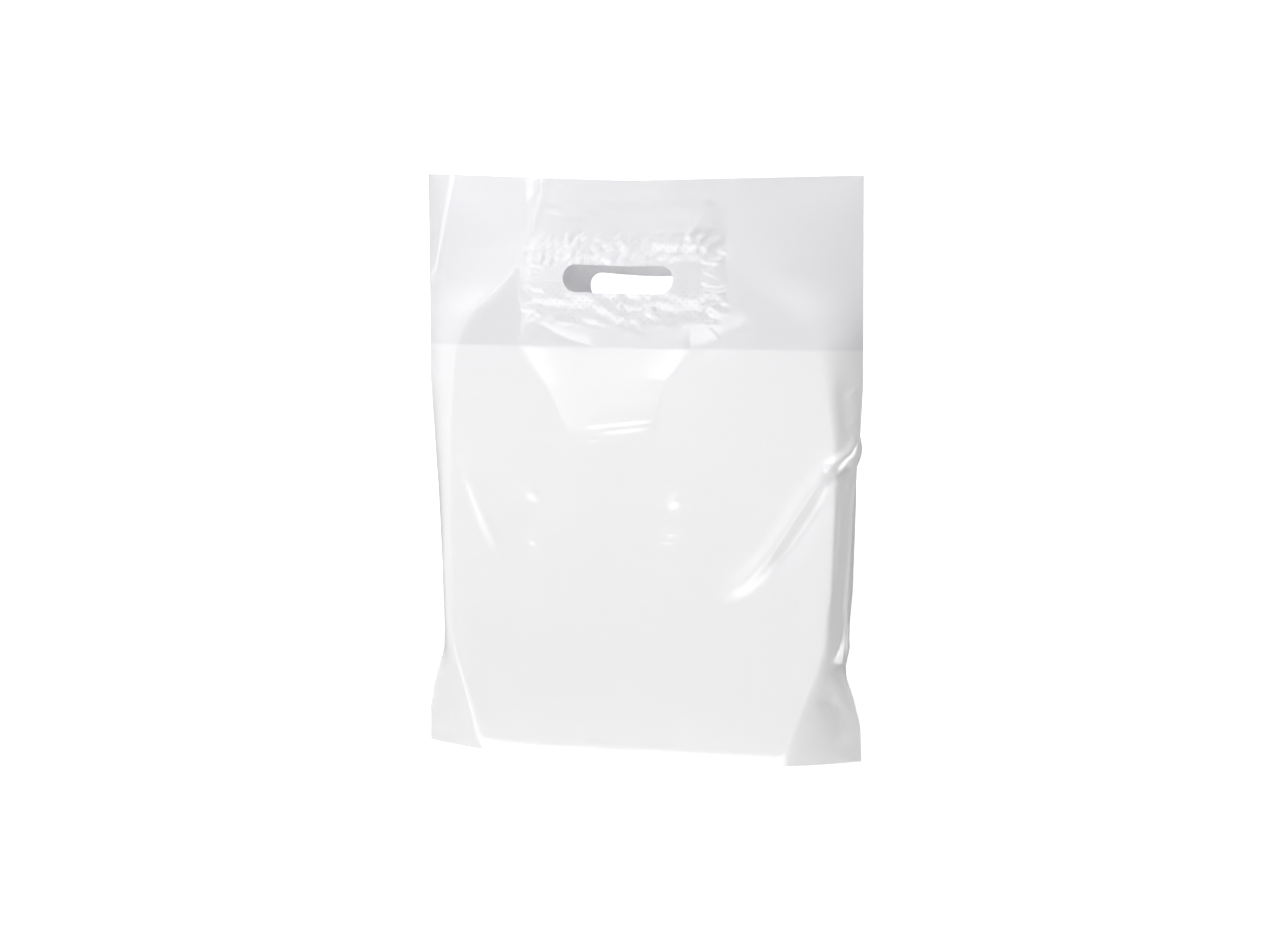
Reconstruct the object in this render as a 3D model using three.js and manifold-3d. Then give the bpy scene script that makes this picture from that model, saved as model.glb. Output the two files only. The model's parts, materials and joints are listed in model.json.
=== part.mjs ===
// A patch-handle carrier bag of white polyethylene film, standing upright and filled out.
// One web of film makes the front wall, the bottom gusset and the rear wall; the side edges are
// welded, and an oval hand slot is punched through both walls. A rectangle of thicker film is
// welded inside each wall around the slot.
//
// Millimetres. X runs across the bag, the front wall faces -Y and +Z is up. The origin is on the
// floor under the middle of the bag.

import * as THREE from "three";
import { mergeVertices } from "three/addons/utils/BufferGeometryUtils.js";
import Module from "manifold-3d";

// The bag laid flat.
const FLAT_WIDTH = 380;
const FILM_HEIGHT = 450;
const GUSSET_DEPTH = 50; // how far the bottom fold is tucked up between the walls

// Film is drawn thicker than its real 0.055 mm, so that it makes a solid.
const WALL = 0.9;
const FOLD_RIM = 2.2; // width of the flat rim that each bottom fold rests on
const PATCH_WALL = 0.9;
const CLEARANCE = 0.3; // between a patch and the wall that it is welded to

// The bag filled out. Each row is one height: where the front wall turns towards the side weld,
// how wide that turn is, how far the wall stands from the middle plane, and where the weld is.
const SECTIONS = [
  { height: 0, turn: 146, bend: 22, depth: 19.0, weld: 187.0 },
  { height: 28, turn: 153, bend: 20, depth: 19.5, weld: 186.0 },
  { height: 50, turn: 160, bend: 18, depth: 19.5, weld: 181.0 },
  { height: 76, turn: 165, bend: 15, depth: 19.5, weld: 172.5 },
  { height: 130, turn: 169, bend: 14, depth: 19.5, weld: 175.0 },
  { height: 200, turn: 171, bend: 14, depth: 20.0, weld: 177.5 },
  { height: 250, turn: 172, bend: 16, depth: 20.0, weld: 180.5 },
  { height: 290, turn: 169, bend: 28, depth: 20.0, weld: 184.5 },
  { height: 321, turn: 158, bend: 52, depth: 20.5, weld: 187.5 },
  { height: 348, turn: 122, bend: 84, depth: 22.5, weld: 188.0 },
  { height: 380, turn: 97, bend: 92, depth: 24.3, weld: 188.0 },
  { height: 450, turn: 94, bend: 94, depth: 24.0, weld: 188.0 },
];
const MOUTH_LIFT = 4.6; // the mouth's corners stand this much above its middle
const HEM_LIFT = 5; // the bottom corners are lifted this much off the floor
const HEM_FLAT = 118; // half the length of each bottom fold that lies on the floor

// The hand slot and the patch around it.
const SLOT_LENGTH = 95;
const SLOT_HEIGHT = 21.5;
const SLOT_X = -10;
const SLOT_Z = 373;
const PATCH_LENGTH = 180;
const PATCH_HEIGHT = 109;
const PATCH_X = -7;
const PATCH_Z = 376.5;

// How finely the smooth shapes are cut into flat faces.
const FLAT_STEPS = 3;
const BEND_STEPS = 8;
const LEVELS = [0, 8, 18, 30, 42, 54, 66, 78, 100, 130, 170, 210, 250, 275, 295, 310, 322, 335];
const UPPER_LEVELS = [348, 362, 380, 400, 425, FILM_HEIGHT];
const GUSSET_STEPS = 22;
const PATCH_COLUMNS = 9;
const PATCH_ROWS = 5;
const ABOVE = 20; // how far a cutting solid runs past what it cuts

const wasm = await Module();
wasm.setup();

const sectionKeys = ["turn", "bend", "depth", "weld"];
const sectionCurve = new THREE.CubicInterpolant(
  SECTIONS.map((s) => s.height),
  SECTIONS.flatMap((s) => sectionKeys.map((key) => s[key])),
  sectionKeys.length,
);

// The section at a height, drawn in by a wall's thickness.
function sectionAt(height, inset = 0) {
  const inside = THREE.MathUtils.clamp(height, 0, FILM_HEIGHT);
  const [turn, bend, depth, weld] = sectionCurve.evaluate(inside);
  const slant = Math.hypot(1, (weld - turn) / depth);
  return { turn: turn - inset, bend, depth: depth - inset, weld: weld - inset * slant };
}

// The lift of the film off its level height, from nothing in the middle to the corners.
function lift(x, height) {
  const across = Math.abs(x) / (FLAT_WIDTH / 2);
  const start = HEM_FLAT / (FLAT_WIDTH / 2);
  const hem = HEM_LIFT * Math.max(0, (across - start) / (1 - start)) ** 1.5;
  const mouth = MOUTH_LIFT * across ** 1.2;
  return THREE.MathUtils.lerp(hem, mouth, THREE.MathUtils.clamp(height / FILM_HEIGHT, 0, 1));
}

// One quarter of a section, from the middle of the wall to the weld, for x and y both positive.
function quarter({ turn, bend, depth, weld }) {
  const points = [];
  for (let i = 0; i < FLAT_STEPS; i++) {
    points.push(new THREE.Vector2(((turn - bend) * i) / FLAT_STEPS, depth));
  }
  const corner = new THREE.QuadraticBezierCurve(
    new THREE.Vector2(turn - bend, depth),
    new THREE.Vector2(turn, depth),
    new THREE.Vector2(weld, 0),
  );
  return points.concat(corner.getPoints(BEND_STEPS));
}

// A whole section as a closed ring, anticlockwise seen from above, starting at the right weld.
function ring(height, inset, z = height) {
  const points = quarter(sectionAt(height, inset));
  const back = points.slice().reverse();
  const around = [
    ...back,
    ...points.slice(1).map((p) => new THREE.Vector2(-p.x, p.y)),
    ...back.slice(1).map((p) => new THREE.Vector2(-p.x, -p.y)),
    ...points.slice(1, -1).map((p) => new THREE.Vector2(p.x, -p.y)),
  ];
  return around.map((p) => new THREE.Vector3(p.x, p.y, z + lift(p.x, height)));
}

function middle(points) {
  return points.reduce((sum, p) => sum.add(p), new THREE.Vector3()).divideScalar(points.length);
}

// A closed solid through rings of equal length, with a fan of triangles from each hub to its end ring.
function loft(rings, hubs = [middle(rings[0]), middle(rings.at(-1))]) {
  const count = rings[0].length;
  const vertices = [...rings.flat(), ...hubs];
  const firstHub = rings.length * count;
  const index = [];
  for (let i = 0; i < count; i++) {
    const next = (i + 1) % count;
    for (let level = 0; level + 1 < rings.length; level++) {
      const low = level * count;
      const high = low + count;
      index.push(low + i, low + next, high + next, low + i, high + next, high + i);
    }
    const top = (rings.length - 1) * count;
    index.push(firstHub, next, i, firstHub + 1, top + i, top + next);
  }
  const geometry = new THREE.BufferGeometry().setFromPoints(vertices);
  geometry.setIndex(index);
  return geometry;
}

// A closed geometry as a solid for joining and cutting.
function solid(geometry) {
  const bare = geometry.clone();
  bare.deleteAttribute("normal");
  bare.deleteAttribute("uv");
  const merged = mergeVertices(bare, 1e-4);
  return new wasm.Manifold(
    new wasm.Mesh({
      numProp: 3,
      vertProperties: merged.getAttribute("position").array,
      triVerts: new Uint32Array(merged.index.array),
    }),
  );
}

// The finished solid as a named mesh.
function meshOf(made, name, material) {
  const { vertProperties, triVerts } = made.getMesh();
  const geometry = new THREE.BufferGeometry();
  geometry.setAttribute("position", new THREE.BufferAttribute(vertProperties, 3));
  geometry.setIndex(new THREE.BufferAttribute(triVerts, 1));
  geometry.computeVertexNormals();
  const mesh = new THREE.Mesh(geometry, material);
  mesh.name = name;
  return mesh;
}

// How far the wall stands from the middle plane at x.
function wallDepth(x, height, inset) {
  const { turn, bend, depth, weld } = sectionAt(height, inset);
  const past = Math.abs(x) - (turn - bend);
  if (past <= 0) return depth;
  // The bend is a quadratic curve, so its x is a quadratic in the step t along it.
  const curve = weld - turn - bend;
  const t = past / (bend + Math.sqrt(bend * bend + curve * past));
  return depth * (1 - t * t);
}

// The tent that the tucked-up bottom fold makes between the walls, or, drawn in, the groove under it.
function tent(inset, floor) {
  const end = sectionAt(0, inset).weld - 1;
  const sections = [];
  for (let i = 0; i <= GUSSET_STEPS; i++) {
    // The stations lie closer together towards the welds, where the tent narrows.
    const x = end * Math.sin((Math.PI / 2) * ((2 * i) / GUSSET_STEPS - 1));
    const half = wallDepth(x, 0, inset);
    const ridge = Math.sqrt(GUSSET_DEPTH ** 2 - Math.min(half, GUSSET_DEPTH) ** 2) - 1.6 * inset;
    const base = lift(x, 0);
    sections.push([
      new THREE.Vector3(x, -half, floor),
      new THREE.Vector3(x, -half, base),
      new THREE.Vector3(x, 0, base + ridge),
      new THREE.Vector3(x, half, base),
      new THREE.Vector3(x, half, floor),
    ]);
  }
  return solid(loft(sections.map((points) => points.reverse())));
}

// The hand slot's cutter, right through both walls.
function slotCutter() {
  const straight = (SLOT_LENGTH - SLOT_HEIGHT) / 2;
  const outline = new THREE.Shape();
  outline.absarc(straight, 0, SLOT_HEIGHT / 2, -Math.PI / 2, Math.PI / 2);
  outline.absarc(-straight, 0, SLOT_HEIGHT / 2, Math.PI / 2, (3 * Math.PI) / 2);
  const through = 2 * (SECTIONS.at(-1).depth + ABOVE);
  const geometry = new THREE.ExtrudeGeometry(outline, {
    depth: through,
    bevelEnabled: false,
    curveSegments: 10,
  });
  geometry.translate(0, 0, -through / 2);
  geometry.rotateX(Math.PI / 2);
  geometry.translate(SLOT_X, 0, SLOT_Z);
  return solid(geometry);
}

// The bag: the filled-out shape, less the room inside it above the tucked-up fold, less the groove
// under that fold.
function bagFilm(slot) {
  const levels = [...LEVELS, ...UPPER_LEVELS];
  const ends = [new THREE.Vector3(0, 0, 0), new THREE.Vector3(0, 0, FILM_HEIGHT + MOUTH_LIFT / 2)];
  const outside = solid(loft(levels.map((height) => ring(height, 0)), ends));
  const inner = levels.map((height) => ring(height, WALL));
  inner.unshift(ring(0, WALL, -ABOVE));
  inner.push(ring(FILM_HEIGHT, WALL, FILM_HEIGHT + ABOVE));
  const room = solid(loft(inner)).subtract(tent(0, -2 * ABOVE));
  return outside.subtract(room).subtract(tent(FOLD_RIM, -ABOVE)).subtract(slot);
}

// A patch: a thin rectangle that follows the inside of one wall, side -1 for the front, 1 for the rear.
function handlePatch(side, slot) {
  const outer = WALL + CLEARANCE;
  const columns = [];
  for (let i = 0; i <= PATCH_COLUMNS; i++) {
    const x = PATCH_X + PATCH_LENGTH * (i / PATCH_COLUMNS - 0.5);
    const face = (row, inset) => {
      const height = PATCH_Z + PATCH_HEIGHT * (row / PATCH_ROWS - 0.5);
      return new THREE.Vector3(x, side * wallDepth(x, height, inset), height + lift(x, height));
    };
    const rows = [...Array(PATCH_ROWS + 1).keys()];
    const near = rows.map((row) => face(row, outer));
    const far = rows.reverse().map((row) => face(row, outer + PATCH_WALL));
    columns.push([...near, ...far]);
  }
  const facesOut = side > 0 ? columns : columns.map((points) => points.reverse());
  return solid(loft(facesOut)).subtract(slot);
}

const film = new THREE.MeshStandardMaterial({ color: 0xf3f3f6, roughness: 0.22, metalness: 0 });
const patchFilm = new THREE.MeshStandardMaterial({ color: 0xededf1, roughness: 0.35, metalness: 0 });

const slot = slotCutter();
const bag = new THREE.Group();
bag.add(meshOf(bagFilm(slot), "bag_film", film));
bag.add(meshOf(handlePatch(-1, slot), "front_handle_patch", patchFilm));
bag.add(meshOf(handlePatch(1, slot), "rear_handle_patch", patchFilm));

export default bag;
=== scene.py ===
"""Looks of a white patch-handle carrier bag: its film, its two welded patches and the studio.

The bag is one web of blown polyethylene film. It starts here as a flat grid, has its hand slots
punched, and is then laid into the shape that it has when it is filled out: front wall, bottom fold
tucked up between the walls, and rear wall, with the side edges brought together at the side welds.
"""

import json
import logging
import math
from dataclasses import dataclass
from enum import Enum

import bmesh
import bpy
import numpy as np
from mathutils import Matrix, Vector


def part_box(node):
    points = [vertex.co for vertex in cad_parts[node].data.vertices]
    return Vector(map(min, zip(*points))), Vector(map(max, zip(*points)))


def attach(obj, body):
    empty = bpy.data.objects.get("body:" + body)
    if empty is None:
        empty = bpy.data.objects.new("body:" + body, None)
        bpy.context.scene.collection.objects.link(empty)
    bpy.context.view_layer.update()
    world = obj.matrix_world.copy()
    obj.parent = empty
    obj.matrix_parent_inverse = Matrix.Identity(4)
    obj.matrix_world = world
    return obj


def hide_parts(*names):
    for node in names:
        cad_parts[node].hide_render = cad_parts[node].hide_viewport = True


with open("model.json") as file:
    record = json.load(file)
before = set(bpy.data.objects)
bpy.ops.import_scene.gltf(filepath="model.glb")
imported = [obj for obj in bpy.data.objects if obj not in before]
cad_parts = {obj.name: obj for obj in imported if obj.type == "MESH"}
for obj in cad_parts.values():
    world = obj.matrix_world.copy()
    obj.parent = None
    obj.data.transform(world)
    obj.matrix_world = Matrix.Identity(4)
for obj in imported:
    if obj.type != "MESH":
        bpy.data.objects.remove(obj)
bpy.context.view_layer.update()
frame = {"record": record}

Path = tuple[tuple[float, float], ...]
Span = tuple[float, float]
Reading = bpy.types.NodeSocket | float

LOG = logging.getLogger("carrier_bag")
MM = 0.001


# ---------------------------------------------------------------- small helpers


def linear(hex_colour: str) -> tuple[float, float, float, float]:
    """Turns an sRGB hex colour into the linear one that a shader takes.

    Args:
        hex_colour: six hex digits, such as "f2f2f4".

    Returns:
        Linear red, green and blue, and an alpha of 1.
    """
    channels = [int(hex_colour[i : i + 2], 16) / 255 for i in (0, 2, 4)]
    values = [c / 12.92 if c <= 0.04045 else ((c + 0.055) / 1.055) ** 2.4 for c in channels]
    return (*values, 1.0)


def add_node(
    tree: bpy.types.NodeTree,
    kind: str,
    links: dict[str | int, bpy.types.NodeSocket] | None = None,
    **settings: object,
) -> bpy.types.Node:
    """Adds a shader node, sets it and links it.

    Args:
        tree: the node tree it goes into.
        kind: the node's class name.
        links: input name or number to the output socket that feeds it.
        settings: node properties, and input values under inputs={name: value}.

    Returns:
        The new node.
    """
    node = tree.nodes.new(kind)
    inputs = settings.pop("inputs", {})
    for name, value in settings.items():
        setattr(node, name, value)
    for name, value in inputs.items():
        node.inputs[name].default_value = value
    for name, socket in (links or {}).items():
        tree.links.new(socket, node.inputs[name])
    return node


def deselect_all() -> None:
    """Leaves nothing selected, so that the next operator acts on its own primitive only."""
    bpy.ops.object.select_all(action="DESELECT")


def smoothstep(low: float, high: float, x: np.ndarray) -> np.ndarray:
    """A smooth rise from one value to another.

    Args:
        low: where it starts.
        high: where it ends.
        x: the places to read it at.

    Returns:
        0 up to low, 1 from high, and a smooth rise between them.
    """
    t = np.clip((x - low) / (high - low), 0, 1)
    return t * t * (3 - 2 * t)


def apply_modifier(piece: bpy.types.Object, kind: str, **settings: object) -> None:
    """Adds one modifier to a piece and applies it.

    Args:
        piece: the piece.
        kind: the modifier's type.
        settings: its properties.
    """
    deselect_all()
    piece.select_set(True)
    bpy.context.view_layer.objects.active = piece
    modifier = piece.modifiers.new(kind.lower(), kind)
    for name, value in settings.items():
        setattr(modifier, name, value)
    bpy.ops.object.modifier_apply(modifier=modifier.name)


# ---------------------------------------------------------------- the filled-out form


class Wall(Enum):
    """The two walls of the bag, by the side of the middle plane that they are on."""

    FRONT = -1.0
    REAR = 1.0


class Profile(Enum):
    """The section across a line that is pressed into film or pulled out of it."""

    SOFT = "round-backed, as in slack film"
    SHARP = "with a crisp edge, as where film has been creased"
    FLAP = "a long slope below it and a short one above, as in film that is puckered"


@dataclass(frozen=True)
class Station:
    """The bag's section at one height, in millimetres: a flat stretch, a bend and the side weld.

    Args:
        height: height above the bottom fold.
        turn: where the bend would be if it were sharp, from the middle.
        bend: how far before that the flat stretch ends.
        depth: how far the flat stretch stands from the middle plane.
        weld: where the side weld is, from the middle.
    """

    height: float
    turn: float
    bend: float
    depth: float
    weld: float


@dataclass(frozen=True)
class Crease:
    """A line in the film that stands out from the wall or is pressed into it.

    Args:
        path: points (x, z) along it in millimetres.
        rise: how far it stands out, or is pressed in where negative, in millimetres.
        width: half its width, in millimetres.
        profile: the section across it.
        ends: share of its length over which each end dies away.
    """

    path: Path
    rise: float
    width: float
    profile: Profile = Profile.SOFT
    ends: float = 0.35

    def height(self, x: np.ndarray, z: np.ndarray) -> np.ndarray:
        """How far the film is moved outwards at each point.

        Args:
            x: places across the bag.
            z: heights above the floor.

        Returns:
            The outward move in millimetres.
        """
        points = np.array(self.path, float)
        legs = np.linalg.norm(np.diff(points, axis=0), axis=1)
        starts = np.concatenate([[0], np.cumsum(legs)])
        best = np.full(x.shape, np.inf)
        side = np.zeros(x.shape)
        along = np.zeros(x.shape)
        for a, b, leg, start in zip(points[:-1], points[1:], legs, starts):
            ux, uz = (b - a) / leg
            run = (x - a[0]) * ux + (z - a[1]) * uz
            on = np.clip(run, 0, leg)
            dx, dz = x - a[0] - on * ux, z - a[1] - on * uz
            distance = np.hypot(dx, dz)
            nearer = distance < best
            best = np.where(nearer, distance, best)
            side = np.where(nearer, np.sign(ux * dz - uz * dx) * distance, side)
            along = np.where(nearer, (start + on) / starts[-1], along)
        fade = smoothstep(0, self.ends, along) * smoothstep(0, self.ends, 1 - along)
        if self.profile is Profile.SOFT:
            section = np.exp(-((best / self.width) ** 2))
        elif self.profile is Profile.SHARP:
            soft = 0.12 * self.width
            section = np.exp(-(np.hypot(best, soft) - soft) / (0.6 * self.width))
        else:
            below = np.clip(1 + side / self.width, 0, 1)
            above = np.clip(1 - side / (0.3 * self.width), 0, 1)
            section = np.where(side < 0, below, above)
        return self.rise * section * fade


@dataclass(frozen=True)
class Swell:
    """A rounded rise or dent in a wall.

    Args:
        x, z: its middle in millimetres.
        half_x, half_z: its half size before it is turned.
        rise: how far it stands out, or is pressed in where negative.
        turn: how far it is turned from the level, in degrees.
    """

    x: float
    z: float
    half_x: float
    half_z: float
    rise: float
    turn: float = 0.0

    def height(self, x: np.ndarray, z: np.ndarray) -> np.ndarray:
        """How far the film is moved outwards at each point.

        Args:
            x: places across the bag.
            z: heights above the floor.

        Returns:
            The outward move in millimetres.
        """
        c, s = math.cos(math.radians(self.turn)), math.sin(math.radians(self.turn))
        u = (x - self.x) * c + (z - self.z) * s
        v = (z - self.z) * c - (x - self.x) * s
        return self.rise * np.exp(-((u / self.half_x) ** 2) - (v / self.half_z) ** 2)


@dataclass(frozen=True)
class FilledForm:
    """The shape that the bag takes when it is filled out, without its small creases.

    Args:
        half_flat: half the width of the flat web.
        film_height: length of film from the bottom fold to the mouth.
        gusset: how deep the bottom is tucked up.
        mouth_lift: how far the mouth's corners stand above its middle.
        hem_lift: how far the bottom corners stand above the floor.
        hem_flat_left, hem_flat_right: where the bottom fold starts to rise, from the middle.
        rear_slump: how far the rear mouth sags below the front one at the middle.
        fold_depth: how far the walls draw together at the bottom fold.
        fold_height: height up to which they do.
        weld_gap: half the distance between the walls at a side weld.
        flares: (height, reach, amount) by which the left weld stands to the front.
        left, right: the sections of each half, from the bottom up.
    """

    half_flat: float = 190.0
    film_height: float = 450.0
    gusset: float = 50.0
    mouth_lift: float = 4.6
    hem_lift: float = 5.0
    hem_flat_left: float = 70.0
    hem_flat_right: float = 118.0
    rear_slump: float = 9.0
    fold_depth: float = 1.2
    fold_height: float = 10.0
    weld_gap: float = 0.16
    flares: tuple[tuple[float, float, float], ...] = (
        (320, 6, 0.0),
        (350, 10, 0.4),
        (375, 15, 0.95),
        (415, 23, 1.9),
        (450, 32, 2.9),
    )
    left: tuple[Station, ...] = (
        Station(0, 145, 22, 23.2, 188),
        Station(28, 152, 18, 22.4, 188),
        Station(50, 158, 14, 21.7, 184),
        Station(72, 164, 9, 21.1, 176.5),
        Station(90, 166, 7, 20.8, 175.5),
        Station(130, 168, 7, 20.2, 177),
        Station(200, 169, 9, 19.6, 181),
        Station(250, 170, 12, 19.4, 185),
        Station(290, 171, 16, 19.6, 188),
        Station(319, 168, 18, 20.1, 188),
        Station(342, 150, 9, 20.3, 188),
        Station(363, 120, 8, 20.5, 188),
        Station(375, 109, 8, 20.6, 188),
        Station(400, 93, 7, 20.8, 188),
        Station(450, 86, 7.5, 21.0, 188),
    )
    right: tuple[Station, ...] = (
        Station(0, 147, 22, 23.2, 187),
        Station(28, 154, 16, 22.4, 186),
        Station(50, 161, 12, 21.7, 180),
        Station(74, 168, 7, 21.1, 171),
        Station(90, 171, 5, 20.8, 173.5),
        Station(130, 174.5, 4, 20.2, 176),
        Station(200, 177, 4, 19.6, 180),
        Station(250, 178, 7, 19.4, 185.5),
        Station(290, 176, 12, 19.6, 188),
        Station(321, 172, 14, 20.1, 188),
        Station(344, 153, 12, 20.3, 188),
        Station(363, 127, 12, 20.5, 188),
        Station(375, 113, 14, 20.6, 188),
        Station(400, 96, 18, 20.8, 188),
        Station(450, 92, 22, 21.0, 188),
    )

    def stations_at(self, stations: tuple[Station, ...], heights: np.ndarray) -> np.ndarray:
        """The section's four sizes at each height, smoothed a little along the height.

        Args:
            stations: the sections of one half of the bag.
            heights: heights above the bottom fold.

        Returns:
            One row of turn, bend, depth and weld for each height.
        """
        known = [s.height for s in stations]
        names = ("turn", "bend", "depth", "weld")
        fields = [[getattr(s, name) for s in stations] for name in names]
        offsets = np.linspace(-7, 7, 9)
        weights = np.exp(-((offsets / 4) ** 2))
        rows = []
        for field in fields:
            readings = (w * np.interp(heights + o, known, field) for o, w in zip(offsets, weights))
            rows.append(sum(readings) / weights.sum())
        return np.array(rows).T

    def lift(self, x: np.ndarray, height: np.ndarray) -> np.ndarray:
        """How far the film stands above its place on a level bag, towards the corners.

        Args:
            x: places across the bag.
            height: distances up the film from the bottom fold.

        Returns:
            The upward move in millimetres.
        """
        across = np.abs(x) / self.half_flat
        start = np.where(x < 0, self.hem_flat_left, self.hem_flat_right) / self.half_flat
        hem = self.hem_lift * np.clip((across - start) / (1 - start), 0, 1) ** 1.5
        mouth = self.mouth_lift * across
        share = np.clip(height / self.film_height, 0, 1)
        return hem * (1 - share) + mouth * share

    def half_row(self, sizes: np.ndarray, across: np.ndarray) -> tuple[np.ndarray, np.ndarray]:
        """Lays one half of one row of film along its section.

        Args:
            sizes: turn, bend, depth and weld of the section.
            across: distances along the film from the middle, all positive.

        Returns:
            Their x and their depth from the middle plane.
        """
        turn, bend, depth, weld = sizes
        t = np.linspace(0, 1, 40)
        curve = (turn - bend) * (1 - t) ** 2 + 2 * turn * t * (1 - t) + weld * t**2
        line_x = np.concatenate([[0], curve])
        line_y = np.concatenate([[depth], depth * (1 - t**2)])
        length = np.concatenate([[0], np.cumsum(np.hypot(np.diff(line_x), np.diff(line_y)))])
        place = across * length[-1] / self.half_flat
        return np.interp(place, length, line_x), np.interp(place, length, line_y)

    def flare(self, across: np.ndarray, height: np.ndarray) -> np.ndarray:
        """How far the left side weld stands to the front, which both walls follow near it.

        Args:
            across: distances along the film from the middle.
            height: distances up the film.

        Returns:
            The move to the front in millimetres.
        """
        levels = [level for level, _, _ in self.flares]
        reach = np.interp(height, levels, [r for _, r, _ in self.flares])
        amount = np.interp(height, levels, [a for _, _, a in self.flares])
        near = np.clip(1 - (across + self.half_flat) / reach, 0, 1)
        return amount * near**2

    def front(self, across: np.ndarray, heights: np.ndarray) -> np.ndarray:
        """The bare front wall at every crossing of a column and a row of film.

        Args:
            across: distances along the film from the middle, negative to the left.
            heights: distances up the film from the bottom fold.

        Returns:
            Points in millimetres, rows by columns by 3.
        """
        points = np.zeros((len(heights), len(across), 3))
        for stations, half in ((self.left, across < 0), (self.right, across >= 0)):
            sign = -1.0 if stations is self.left else 1.0
            for row, sizes in enumerate(self.stations_at(stations, heights)):
                x, y = self.half_row(sizes, np.abs(across[half]))
                points[row, half, 0] = sign * x
                points[row, half, 1] = y
        up = heights[:, None] + 0 * across[None, :]
        tuck = self.fold_depth * (1 - np.clip(up / self.fold_height, 0, 1)) ** 2
        narrow = np.clip(points[..., 1] / 12.0, 0, 1)
        points[..., 1] = np.maximum(points[..., 1] - tuck * narrow, self.weld_gap)
        points[..., 1] *= Wall.FRONT.value
        points[..., 2] = up + self.lift(points[..., 0], up)
        return points


class WallMap:
    """One bare wall sampled every millimetre, to read places and outward directions from."""

    def __init__(self, form: FilledForm, side: Wall) -> None:
        """Samples the wall.

        Args:
            form: the filled-out form.
            side: which wall.
        """
        self.form = form
        self.side = side
        self.across = np.linspace(-form.half_flat, form.half_flat, 381)
        self.heights = np.linspace(0, form.film_height, 451)
        self.points = form.front(self.across, self.heights)
        normals = np.cross(np.gradient(self.points, axis=1), np.gradient(self.points, axis=0))
        self.normals = normals / np.maximum(np.linalg.norm(normals, axis=2, keepdims=True), 1e-9)
        if side is Wall.REAR:
            slump = form.rear_slump * np.exp(-((self.points[..., 0] / 110.0) ** 2))
            slump *= smoothstep(120, 360, self.points[..., 2])
            self.points[..., 2] -= slump
            self.points[..., 1] *= -1
            self.normals[..., 1] *= -1
        self.points[..., 1] -= form.flare(self.across[None, :], self.heights[:, None])

    def read(self, across: np.ndarray, height: np.ndarray) -> tuple[np.ndarray, np.ndarray]:
        """Where bits of film are, and which way is out.

        Args:
            across: their distances along the film from the middle.
            height: their distances up the film from the bottom fold.

        Returns:
            Points and unit outward directions.
        """
        u = np.clip(across - self.across[0], 0, len(self.across) - 1.001)
        v = np.clip(height, 0, len(self.heights) - 1.001)
        column, row = u.astype(int), v.astype(int)
        u, v = (u - column)[:, None], (v - row)[:, None]
        found = []
        for grid in (self.points, self.normals):
            low = grid[row, column] * (1 - u) + grid[row, column + 1] * u
            high = grid[row + 1, column] * (1 - u) + grid[row + 1, column + 1] * u
            found.append(low * (1 - v) + high * v)
        return found[0], found[1]


# ---------------------------------------------------------------- the creases of each wall


def share_to_side(left: Path, right: Path, x: np.ndarray, z: np.ndarray) -> np.ndarray:
    """How far each point is from the middle of a field with slanting sides.

    Args:
        left, right: points (x, z) of the field's side edges, from the top down.
        x: places across the bag.
        z: heights above the floor.

    Returns:
        From 0 at the field's middle to 1 at its sides and beyond.
    """
    edges = []
    for side in (left, right):
        points = sorted((z_, x_) for x_, z_ in side)
        edges.append(np.interp(z, [p[0] for p in points], [p[1] for p in points]))
    middle, half = (edges[0] + edges[1]) / 2, (edges[1] - edges[0]) / 2
    return np.clip(np.abs(x - middle) / half, 0, 1)


@dataclass(frozen=True)
class Crumple:
    """A patch of irregular waves that all run much the same way, such as welding leaves in film.

    Args:
        x, z: its middle in millimetres.
        half_x, half_z: its half size.
        pitch: the usual distance from crest to crest.
        rise: the usual height above the wall.
        turn: the direction in which the waves follow one another, in degrees from the level.
        spread: how far that direction strays, in degrees.
        seed: which set of waves.
    """

    x: float
    z: float
    half_x: float
    half_z: float
    pitch: float
    rise: float
    turn: float
    spread: float = 18.0
    seed: int = 1

    def height(self, x: np.ndarray, z: np.ndarray) -> np.ndarray:
        """How far the film is moved outwards at each point.

        Args:
            x: places across the bag.
            z: heights above the floor.

        Returns:
            The outward move in millimetres.
        """
        chance = np.random.default_rng(self.seed)
        dx, dz = x - self.x, z - self.z
        total = np.zeros(x.shape)
        waves = 9
        for _ in range(waves):
            angle = math.radians(self.turn + self.spread * chance.normal())
            pitch = self.pitch * chance.uniform(0.7, 1.6)
            along = dx * math.cos(angle) + dz * math.sin(angle)
            total += np.sin(2 * math.pi * along / pitch + chance.uniform(0, 2 * math.pi))
        reach = np.hypot(dx / self.half_x, dz / self.half_z)
        beside = np.maximum(np.abs(dx) / self.half_x, np.abs(dz) / self.half_z)
        reach = np.maximum(reach * 0.8, beside)
        return self.rise * total * math.sqrt(2 / waves) * (1 - smoothstep(0.7, 1.0, reach))


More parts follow.
